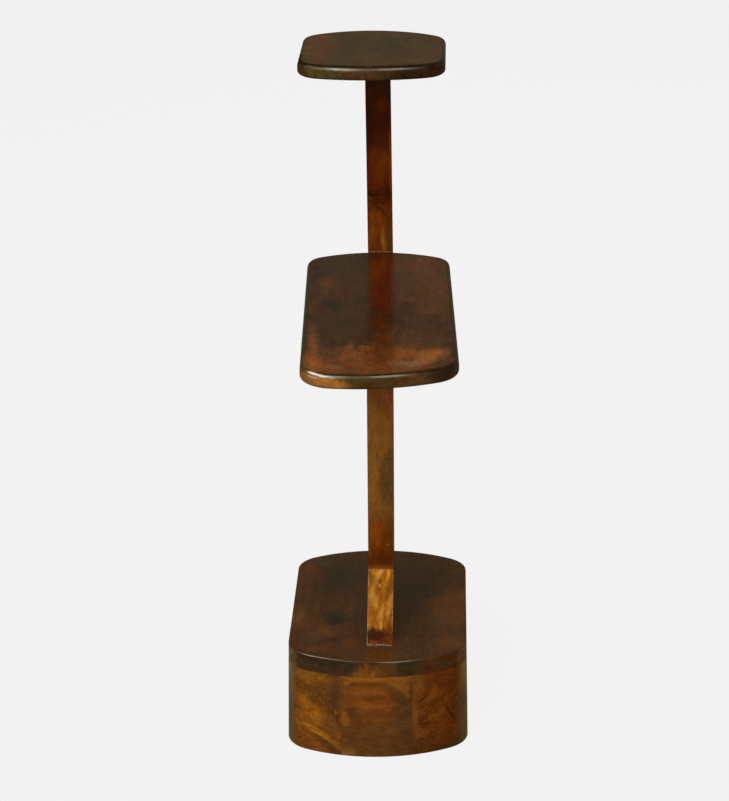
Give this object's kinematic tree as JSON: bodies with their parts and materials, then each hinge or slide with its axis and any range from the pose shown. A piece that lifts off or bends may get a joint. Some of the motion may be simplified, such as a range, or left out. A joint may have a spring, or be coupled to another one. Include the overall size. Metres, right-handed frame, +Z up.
{
  "type": "tiered side table",
  "caption": "Narrow wooden side table: closed coopered base box, short post with a sloping foot brace, long middle shelf, and a small top shelf on a second post at the rear.",
  "frame": {"origin": "centre of the base's flat underside, on the floor", "axes": "+Z up; +Y to the rear, along the long way of the base and shelves, towards the upper post; +X to the right seen from the front"},
  "size_m": [0.1766, 0.5004, 0.61],
  "materials": {
    "dark_lacquered_top": "dark brown stained hardwood under glossy lacquer",
    "lacquered_stave": "golden brown figured hardwood under glossy lacquer",
    "lacquered_post": "red brown hardwood under glossy lacquer",
    "golden_brace": "golden flame-figured hardwood under glossy lacquer",
    "bare_wood": "sanded bare hardwood",
    "beech_dowel": "plain turned hardwood",
    "zinc_steel": "zinc plated"
  },
  "bodies": {
    "root": {"base_lid": "dark_lacquered_top", "front_stave_left": "lacquered_stave", "front_stave_centre": "lacquered_stave", "front_stave_right": "lacquered_stave", "rear_stave_left": "lacquered_stave", "rear_stave_centre": "lacquered_stave", "rear_stave_right": "lacquered_stave", "side_board_left": "lacquered_stave", "side_board_right": "lacquered_stave", "bottom_panel": "bare_wood", "glue_blocks": "bare_wood", "lid_cleat": "bare_wood", "lid_dowels": "beech_dowel", "bottom_panel_screws": "zinc_steel", "lower_post": "lacquered_post", "lower_post_screws": "zinc_steel", "lower_post_washers": "zinc_steel", "foot_brace": "golden_brace", "foot_brace_dowels": "beech_dowel", "shelf_bearer": "lacquered_post", "middle_shelf": "dark_lacquered_top", "middle_shelf_screws": "zinc_steel", "upper_post": "lacquered_post", "upper_post_screws": "zinc_steel", "upper_post_plugs": "beech_dowel", "top_shelf": "dark_lacquered_top", "top_shelf_dowels": "beech_dowel"}
  },
  "joints": []
}
